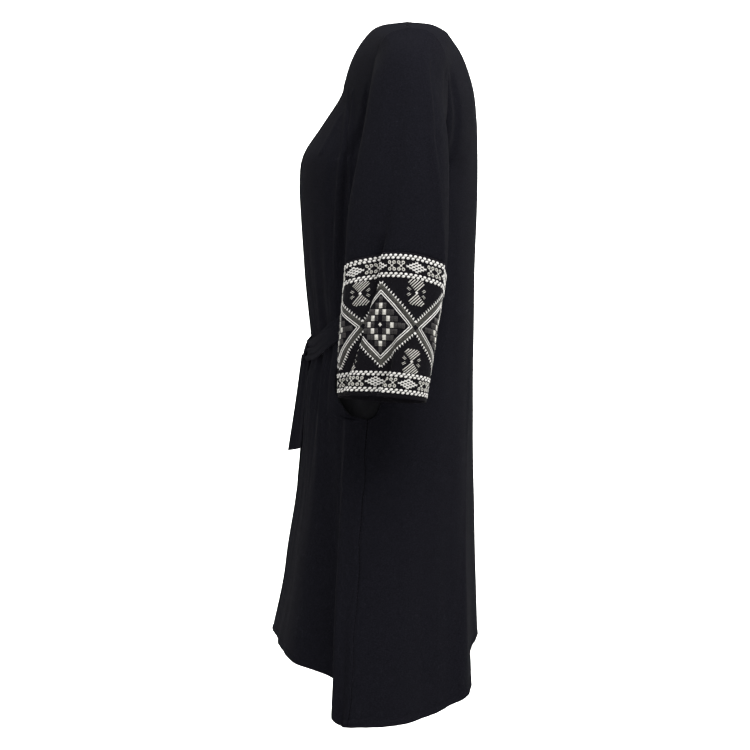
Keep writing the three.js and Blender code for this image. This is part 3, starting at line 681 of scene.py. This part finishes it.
class Stitches:  # one colour of thread: raised stitches gathered into one mesh
    def __init__(self):
        self.points, self.faces, self.threads = [], [], []

    def add(self, points, faces, strandTurn):
        first = len(self.points)
        across = (math.cos(strandTurn), math.sin(strandTurn))
        self.points += points
        self.threads += [(u * across[0] + v * across[1], v * across[0] - u * across[1]) for u, v, _ in points]
        self.faces += [[first + k for k in face] for face in faces]

    def block(self, outline, strandTurn=0.0, height=None, inset=0.22):  # a satin-stitched shape with rounded sides
        height = height or chart["height"]
        count = len(outline)
        middle = [sum(p[k] for p in outline) / count for k in (0, 1)]
        inner = []
        for u, v in outline:
            away = math.hypot(u - middle[0], v - middle[1]) or 1
            keep = max(0.0, 1 - inset * 1.4 / away)
            inner.append((middle[0] + (u - middle[0]) * keep, middle[1] + (v - middle[1]) * keep, height))
        points = [(u, v, -chart["sunk"]) for u, v in outline] + inner
        faces = [[k, (k + 1) % count, count + (k + 1) % count, count + k] for k in range(count)]
        self.add(points, faces + [list(range(count, 2 * count)), list(range(count))[::-1]], strandTurn)

    def line(self, start, end, width, height=None):  # a row of stitches between two points
        height, low = height or chart["height"], -chart["sunk"]
        length = math.dist(start, end)
        along = ((end[0] - start[0]) / length, (end[1] - start[1]) / length)
        aside = (-along[1] * width / 2, along[0] * width / 2)
        count = max(1, round(length / 4.5))
        points = []
        for k in range(count + 1):
            u, v = (mix(start[n], end[n], k / count) for n in (0, 1))
            points += [(u + aside[0] * a, v + aside[1] * a, h)
                       for a, h in ((-1, low), (-0.45, height), (0.45, height), (1, low))]
        faces = [face[::-1] for face in gridFaces(count + 1, 4, ring=True)]
        ends = [[3, 2, 1, 0], [4 * count + m for m in range(4)]]
        self.add(points, faces + ends, math.atan2(along[1], along[0]))

    def hatch(self, outline, turn, pitch, width):  # parallel lines that fill a shape
        c, s = math.cos(turn), math.sin(turn)
        turned = [(u * c + v * s, v * c - u * s) for u, v in outline]
        low, high = min(v for _, v in turned), max(v for _, v in turned)
        count = max(1, round((high - low) / pitch))
        for k in range(count):
            level = mix(low, high, (k + 0.5) / count)
            cuts = []
            for (u1, v1), (u2, v2) in zip(turned, turned[1:] + turned[:1]):
                if (v1 - level) * (v2 - level) < 0:
                    cuts.append(mix(u1, u2, (level - v1) / (v2 - v1)))
            cuts.sort()
            for left, right in zip(cuts[::2], cuts[1::2]):
                if right - left > width * 0.8:
                    self.line(*[(end * c - level * s, end * s + level * c) for end in (left, right)], width)

    def ring(self, middle, radius, width, count=10):
        points = []
        high, low = chart["height"], -chart["sunk"]
        for k in range(count):
            c, s = math.cos(2 * math.pi * k / count), math.sin(2 * math.pi * k / count)
            for share, h in ((0, low), (0.3, high), (0.7, high), (1, low)):
                r = radius - width * share
                points.append((middle[0] + r * c, middle[1] + r * s, h))
        faces = [[n % (4 * count) for n in face] for face in gridFaces(count + 1, 4, ring=True)]
        self.add(points, faces, 0.0)

    def make(self, name, place, material, side):
        points, inside = place(np.array(self.points))
        faces = [face for face in self.faces if inside[face].all()]
        used = sorted({k for face in faces for k in face})
        renamed = {k: n for n, k in enumerate(used)}
        faces = [[renamed[k] for k in face] for face in faces]
        piece = newPiece(name, points[used], faces, material, np.array(self.threads)[used], side, "thread")
        return finishPiece(piece, "embroidered_band")


def diamond(u, v, halfU, halfV):
    return [(u - halfU, v), (u, v - halfV), (u + halfU, v), (u, v + halfV)]


def stitchBorder(white, cream, middle):
    half = chart["borderPitch"] / 2
    for k in range(-4, 5):
        u = chart["joint"] + k * chart["borderPitch"]
        lozenge = diamond(u, middle, *chart["lozenge"])
        turn = math.atan2(chart["lozenge"][1], chart["lozenge"][0])
        white.hatch(lozenge, turn, 3.0, 1.3)
        white.hatch(lozenge, -turn, 3.0, 1.3)
        for along in (-8.9, -3.0, 3.0, 8.9):
            for aside in (-4.3, 4.3):
                cream.ring((u + half + along, middle + aside), 2.35, 1.45)
        for along in (-6.0, 6.0):
            for turn in (0.75, -0.75):
                du, dv = 3.0 * math.cos(turn), 3.0 * math.sin(turn)
                cream.line((u + half + along - du, middle - dv), (u + half + along + du, middle + dv), 0.9)
            white.block(diamond(u + half + along, middle, 1.5, 1.3), 0.3)


def stitchCord(white, middle):  # fat beads in two staggered rows, like a twisted cord
    bead = ((-2.6, 0.3), (-1.7, -1.2), (0.2, -1.8), (1.9, -1.4), (2.6, -0.2), (1.6, 1.2), (-0.2, 1.8), (-1.9, 1.4))
    for k in range(-42, 43):
        for aside, shift in ((-1.5, 0), (1.5, 0.5)):
            u = (k + shift) * chart["cordPitch"]
            white.block([(u + du, middle + aside + dv) for du, dv in bead], 0.6, 0.7, inset=0.7)


def stitchDiamond(white, cream, grey, brown, u):
    middle = chart["middle"]
    for width, height, thick in chart["whiteLines"]:
        corners = diamond(u, middle, width, height)
        for a, b in zip(corners, corners[1:] + corners[:1]):
            white.line(a, b, thick)
    inner, outer = chart["hatched"]
    pitch, base, tall = chart["tooth"]
    for right in (1, -1):
        for down in (1, -1):
            start, end = (0, outer[1] * down), (outer[0] * right, 0)
            length = math.dist(start, end)
            along = ((end[0] - start[0]) / length, (end[1] - start[1]) / length)
            out = (-along[1], along[0]) if -along[1] * right > 0 else (along[1], -along[0])
            thick = (outer[1] - inner[1]) * abs(along[0])

            def edge(at, aside=0.0):  # a place along the diamond's edge, moved out from it
                return start[0] + along[0] * at + out[0] * aside, start[1] + along[1] * at + out[1] * aside

            for n in range(int(length / chart["hatchPitch"])):
                near, far = edge((n + 0.5) * chart["hatchPitch"], -thick), edge((n + 0.5) * chart["hatchPitch"])
                if abs(near[0]) < chart["hatchReach"] and abs(far[0]) < chart["hatchReach"]:
                    grey.line((u + near[0], middle + near[1]), (u + far[0], middle + far[1]), 0.95, 0.3)
            for n in range(int(length / pitch) + 1):
                at = (n + 0.25) * pitch
                du, dv = edge(at)
                if abs(du) < chart["toothReach"]:
                    corners = [edge(at - base / 2), edge(at + base / 2),
                               (du + out[0] * tall * 0.8, dv + out[1] * tall * 1.2)]
                    if right * down > 0:
                        corners.reverse()
                    white.block([(u + p[0], middle + p[1]) for p in corners], 0.5, inset=0.12)
    stepU, stepV = chart["step"]
    halfU, halfV = chart["square"][0] / 2, chart["square"][1] / 2
    for i in range(-7, 8):
        for j in range(-4, 5):
            away = abs(i) + abs(j)
            du, dv = i * stepU, j * stepV
            corners = [(u + du + a * halfU, middle + dv + b * halfV)
                       for a, b in ((-1, -1), (1, -1), (1, 1), (-1, 1))]
            reach = (abs(du) + halfU) / chart["field"][0] + (abs(dv) + halfV) / chart["field"][1]
            if away == 3:
                cream.block(corners, 0.0)
            elif away in (2, 4, 5, 6) and reach < 1:
                brown.hatch(corners, math.pi / 2, 1.15, 0.95)
    cream.block(diamond(u, middle, 2.4, 2.9), 0.8)


def stitchFans(white, cream, u, v):
    for down in (1, -1):
        fan = ((0, 0), (11.6, 11.4), (8.2, 16.2), (-8.2, 16.2), (-11.6, 11.4))
        fan = [(u + du, v + dv * down) for du, dv in fan]
        cream.hatch(fan, -0.78, 2.9, 1.3)
    white.block(diamond(u, v, 2.4, 2.1), 0.3)
    for aside in (-1, 1):
        for down in (-1, 1):
            leaf = [(7.6, 1.6), (9.6, 1.4), (13.4, 3.0), (13.0, 5.6), (10.2, 5.6), (8.0, 3.6)]
            leaf = [(u + aside * du, v + down * dv) for du, dv in leaf]
            cream.hatch(leaf, 0.6 * aside * down, 1.9, 0.8)


def stitchBand(side):
    place = bandMap(bands[side][1])
    white, cream, grey, brown = Stitches(), Stitches(), Stitches(), Stitches()
    for middle in chart["cords"]:
        stitchCord(white, middle)
    for middle in chart["borders"]:
        stitchBorder(white, cream, middle)
    for k in range(-3, 4):
        stitchDiamond(white, cream, grey, brown, k * chart["pitch"])
        for aside in (-1, 1):
            stitchFans(white, cream, (k + 0.5) * chart["pitch"], chart["middle"] + aside * chart["fans"])
    threads = ((white, "whiteStitches", whiteThread), (cream, "creamStitches", creamThread),
               (grey, "greyStitches", greyThread), (brown, "brownStitches", brownThread))
    return [thread.make(name + tags[side], place, material, side) for thread, name, material in threads]


needlework = {side: stitchBand(side) for side in bands}
print("needlework made:", [sum(len(o.data.polygons) for o in pieces) for pieces in needlework.values()], "faces")

# the pocket bags hang inside the fronts
pocket = {"down": 22, "steps": 22}


def placeAtHeight(t, z):
    above, below = underarmRow, hemRow
    for _ in range(16):
        middle = (above + below) / 2
        if frontForm(t, middle)[0][2] > z:
            above = middle
        else:
            below = middle
    return above


def bagPlace(share, z, inset):
    t = np.array([2 - share if share > 1 else share])
    v = placeAtHeight(t, z)
    if share > 1:
        return movedOut(backForm, 1, t, v, -inset)[0]
    return movedOut(frontForm, -1, t, v, foldsOut(frontFolds, t, np.array([z])) - inset)[0]


def bagPoint(step, down, isInner):
    z = mix(mix(mouth["top"], bag["top"], step), mix(mouth["foot"], bag["foot"], step), down)
    lipZ = mix(mouth["top"], mouth["foot"], down)
    settle = smooth(min(1, step * 2))
    tip = 1 - mouth["front"] * 0.6 - bag["reach"] + 0.1 * down
    sewn = cloth["crepe"] + cloth["seam"] + 1.5
    slack = 0.8 * math.sin(z / 17 + step * 5) * settle
    if not isInner:
        return bagPlace(mix(1 - gape(lipZ) * mouth["front"], tip, step), z, mix(sewn, bag["inset"], settle) + slack)
    start = mix(sewn + 2, 1.2, gape(lipZ))
    layers = bag["inset"] + mix(bag["depth"], 5, smooth(clamp01(step * 2 - 1)))
    return bagPlace(mix(1 + gape(lipZ) * mouth["back"], tip, step), z, mix(start, layers, settle) + slack)


def makePockets():
    downs, stepsIn = np.linspace(0, 1, pocket["down"]), np.linspace(0, 1, pocket["steps"])
    grid = np.array([[bagPoint(s, d, False) for d in downs] + [bagPoint(s, d, True) for d in downs[::-1]]
                     for s in stepsIn])
    columns, last = grid.shape[1], (len(stepsIn) - 1) * grid.shape[1]
    faces = [face[::-1] for face in gridFaces(*grid.shape[:2], ring=True)]
    faces += [[last + k for k in (columns - 1 - j, columns - 2 - j, j + 1, j)] for j in range(len(downs) - 1)]
    for side, tag in tags.items():
        node = "pocket_" + tag.lower()
        piece = clothPiece("pocketBag" + tag, grid, pocketing, cloth["crepe"], "pocket_cloth", node, side, faces)


makePockets()
print("pockets made")

# the sash: two halves sewn into the side seams, crossed in a knot, with two free ends
sash = {"width": 32, "seamZ": -424, "knotZ": -460, "gathered": 31, "pleat": 1.1, "columns": 26}
knot = {"x": 22, "y": 4.4, "z": 19.5, "centreY": -141.4, "centreZ": -460, "lean": 0.34, "rings": 56, "spokes": 96}


def onFront(t, heights, upper, outwards):
    column = np.array([frontSurface(np.array([t]), v, upper, np.array([outwards]))[0]
                       for v in np.linspace(underarmRow, mouthRow, 60)])[::-1]
    return np.stack([np.interp(heights, column[:, 2], column[:, axis]) for axis in range(3)], axis=-1)


def makeSash(side, tag):
    shares = steps((0.036, 0.2, 24), (0.2, 0.97, 44), (0.97, 1, 5))
    across = np.linspace(-0.5, 0.5, sash["columns"])
    rows = []
    for share in shares:
        along = (share - shares[0]) / (1 - shares[0])
        width = mix(sash["gathered"], sash["width"], smooth(min(1, along * 3)))
        middle = mix(sash["knotZ"], sash["seamZ"], between(along, 0.24, 0.93)) - 0.8 * math.sin(along * 7 + side)
        rise = 5.5 * (1 - smooth(min(1, along * 3.6))) * (0.55 - 0.9 * across)  # its foot stands out at the knot
        pleats = np.cos(across * 19 + along * 2.5 + side) + 0.7 * np.cos(across * 33 + 1 - along * 4) + 1.2
        soft = sash["pleat"] * (1.1 * math.exp(-along * 4.5) + 0.12) * pleats
        edges = -0.35 * np.exp(-((0.5 - np.abs(across)) * width / 1.2) ** 2)
        p = onFront(share * sewnShare, middle + width * across, side < 0, cloth["crepe"] + cloth["seam"] + 0.15)
        rows.append(p + unit(p * [1, 1, 0] - [0, 20, 0]) * (soft + edges + rise)[:, None])
    node = "sash_" + tag.lower()
    piece = clothPiece("sash" + tag, np.array(rows), sashCrepe, cloth["sash"], "sash_crepe", node, side)


def makeKnot():  # a lump of crossed cloth, its folds running up towards the wearer's left
    points = []
    for i in range(knot["rings"] + 1):
        for j in range(knot["spokes"]):
            polar, turn = math.pi * i / knot["rings"], 2 * math.pi * j / knot["spokes"]
            ball = math.sin(polar) * math.cos(turn), math.sin(polar) * math.sin(turn), math.cos(polar)
            x, y, z = [math.copysign(abs(c) ** 0.75, c) for c in ball]  # squarer than a ball
            across = x * 0.75 - z * 0.66
            fold = 0.55 * math.sin(across * 8.5 + z) + 0.3 * math.sin(across * 17 + 1.3)
            nip = 1 - 0.15 * math.exp(-((x * 0.66 + z * 0.75 + 0.1) / 0.2) ** 2)
            if ball[1] >= 0:  # the back lies plain against the fronts
                fold, nip = 0, 1
            points.append((x * knot["x"] * (1 - 0.05 * (1 - nip)),
                           knot["centreY"] + y * (knot["y"] + fold) * nip + knot["lean"] * knot["z"] * z,
                           knot["centreZ"] + z * knot["z"]))
    faces = [face[::-1] for face in gridFaces(knot["rings"] + 1, knot["spokes"], ring=True)]
    piece = newPiece("sashKnot", np.array(points), faces, sashCrepe, np.array(points)[:, ::2])
    bpy.context.view_layer.objects.active = piece
    for other in bpy.context.selected_objects:
        other.select_set(False)
    piece.select_set(True)
    bpy.ops.object.mode_set(mode="EDIT")
    bpy.ops.mesh.select_all(action="SELECT")
    bpy.ops.mesh.remove_doubles(threshold=0.00001)
    bpy.ops.mesh.normals_make_consistent(inside=False)
    bpy.ops.object.mode_set(mode="OBJECT")
    finishPiece(piece, "sash_crepe", "sash_knot")


# the inner and outer edge of each free end, from the knot down
tails = {"Left": ([(3, -147.2, -468), (7, -157.2, -542.7), (9, -166.8, -605)],
                  [(27, -134.6, -468), (33, -142.2, -542.7), (37, -146.8, -605)]),
         "Right": ([(-3, -147.2, -468), (-6, -156.6, -542.7), (-8, -161, -605)],
                   [(-24, -138.0, -468), (-35, -146.5, -542.7), (-41, -152.0, -605)])}


def makeTail(tag, inner, outer):
    rows = []
    for place in np.linspace(0, 2, 48):
        a, b = (np.array(through(lambda i: np.array(edge[i], float), 3, place)) for edge in (inner, outer))
        across = np.linspace(0, 1, 18)
        row = mix(a[None], b[None], across[:, None])
        row[:, 2] += 5 * (across - 0.5) * place / 2
        gathered = 1 - smooth(place / 2)
        row[:, 1] -= 0.9 * gathered * np.cos(across * 14) + 1.3 * place / 2 * np.sin(across * 5.2 + place)
        rows.append(row)
    grid = np.array(rows)
    faces = gridFaces(*grid.shape[:2])
    if tag == "Right":
        faces = [face[::-1] for face in faces]
    node = "sash_tail_" + tag.lower()
    piece = clothPiece("sashTail" + tag, grid, sashCrepe, cloth["sash"], "sash_crepe", node, faces=faces)


for side, tag in tags.items():
    makeSash(side, tag)
makeKnot()
for tag, edges in tails.items():
    makeTail(tag, *edges)
print("sash and knot made")

# stitches of the side seams: real black thread, painted darker than the cloth as painted shade where the thread
# draws the cloth in
seamStitch = {"pitch": 4.8, "length": 2.9, "width": 1.5, "height": 0.35, "proud": 0.55}


def makeSeamStitches(side, tag):
    places = np.linspace(underarmRow, hemRow, 400)
    line = np.array([frontForm(np.array([1.0]), v)[0] for v in places])
    line[:, 1] += seamWander(line[:, 2]) * between(places, mouthRow, mouthRow + 1)
    run = lengthsAlong(line[None], 1)[0]
    out, ahead = np.array([0.97, -0.22, 0.0]), np.array([0.22, 0.97, 0.0])
    points, faces = [], []
    for at in np.arange(4, run[-1] - 12, seamStitch["pitch"]):
        middle, beyond = [np.array([np.interp(a, run, line[:, axis]) for axis in range(3)]) for a in (at, at + 1)]
        if mouth["foot"] - 2 < middle[2] < mouth["top"] + 2:
            continue
        along = unit(beyond - middle)
        first = len(points)
        for step, size in ((-0.5, 0.35), (-0.3, 1.0), (0.3, 1.0), (0.5, 0.35)):
            centre = middle + along * step * seamStitch["length"] + out * seamStitch["proud"]
            for k in range(6):
                c, s = math.cos(k * math.pi / 3), math.sin(k * math.pi / 3)
                rim = out * s * seamStitch["height"] + ahead * c * seamStitch["width"] / 2
                points.append(centre + rim * size)
        for ring in range(3):
            for k in range(6):
                a, b = first + ring * 6 + k, first + ring * 6 + (k + 1) % 6
                faces.append([a, b, b + 6, a + 6])
        faces += [[first + k for k in range(6)][::-1], [first + 18 + k for k in range(6)]]
    points = np.array(points)
    # the stitches' darkness is painted shade of the pulled-in seam, on top of the thread's own black
    piece = newPiece("seamStitches" + tag, points, faces, sewingThreadPaintedShade, points[:, 1:], side, "thread")
    finishPiece(piece, "crepe")


for side, tag in tags.items():
    makeSeamStitches(side, tag)
print("seam stitches made")

studio = {"floor": -1420, "wall": -3100, "bend": 1600, "reach": 6000, "paper": "#f4f4f2", "sky": 0.79,
          "cameraFrom": (2600, -43, -498), "seenWidth": 1092.8, "sensor": 36}


def makeStudio():
    paper, tree, skin = newMaterial("white studio paper", Roughness=0.95, Specular_IOR_Level=0.1)
    skin.inputs["Base Color"].default_value = colour(studio["paper"])
    wall, curve, reach = studio["wall"], studio["bend"], studio["reach"]
    bend = [(wall + curve * (1 - math.sin(a)), curve * (1 - math.cos(a))) for a in np.linspace(0, math.pi / 2, 17)]
    rows = [(x, y, studio["floor"] + z) for x, z in [(reach, 0)] + bend + [(wall, reach)] for y in (-reach, reach)]
    points = np.array(rows, float)
    faces = [[2 * i, 2 * i + 1, 2 * i + 3, 2 * i + 2] for i in range(len(rows) // 2 - 1)]
    newPiece("studioPaper", points, faces, paper)
    world = bpy.data.worlds.new("studio")
    world.use_nodes = True
    sky = world.node_tree.nodes["Background"]
    sky.inputs["Color"].default_value = (1, 1, 1, 1)
    sky.inputs["Strength"].default_value = studio["sky"]
    bpy.context.scene.world = world


def addLight(name, place, aim, size, watts):
    light = bpy.data.lights.new(name, "AREA")
    light.shape, light.size, light.energy = "SQUARE", size, watts
    lamp = bpy.data.objects.new(name, light)
    lamp.location = np.array(place) * mm
    lamp.rotation_euler = (Vector(aim) - Vector(place)).to_track_quat("-Z", "Y").to_euler()
    bpy.context.scene.collection.objects.link(lamp)


def addCamera():
    lens = bpy.data.cameras.new("camera")
    lens.sensor_width = studio["sensor"]
    lens.lens = studio["sensor"] * studio["cameraFrom"][0] / studio["seenWidth"]
    camera = bpy.data.objects.new("camera", lens)
    camera.location = np.array(studio["cameraFrom"]) * mm
    camera.rotation_euler = (math.pi / 2, 0, math.pi / 2)
    bpy.context.scene.collection.objects.link(camera)
    bpy.context.scene.camera = camera


makeStudio()
addLight("softbox above", (1000, 480, 1600), (100, 0, -300), 1.8, 90)
addLight("softbox back", (-400, 1900, 500), (0, 60, -300), 1.6, 9)
addLight("light on the paper", (-1300, 0, 900), (-3100, 0, -600), 2.0, 160)
addCamera()
bpy.context.scene.view_settings.view_transform = "Standard"
print("studio made")

bpy.context.view_layer.update()
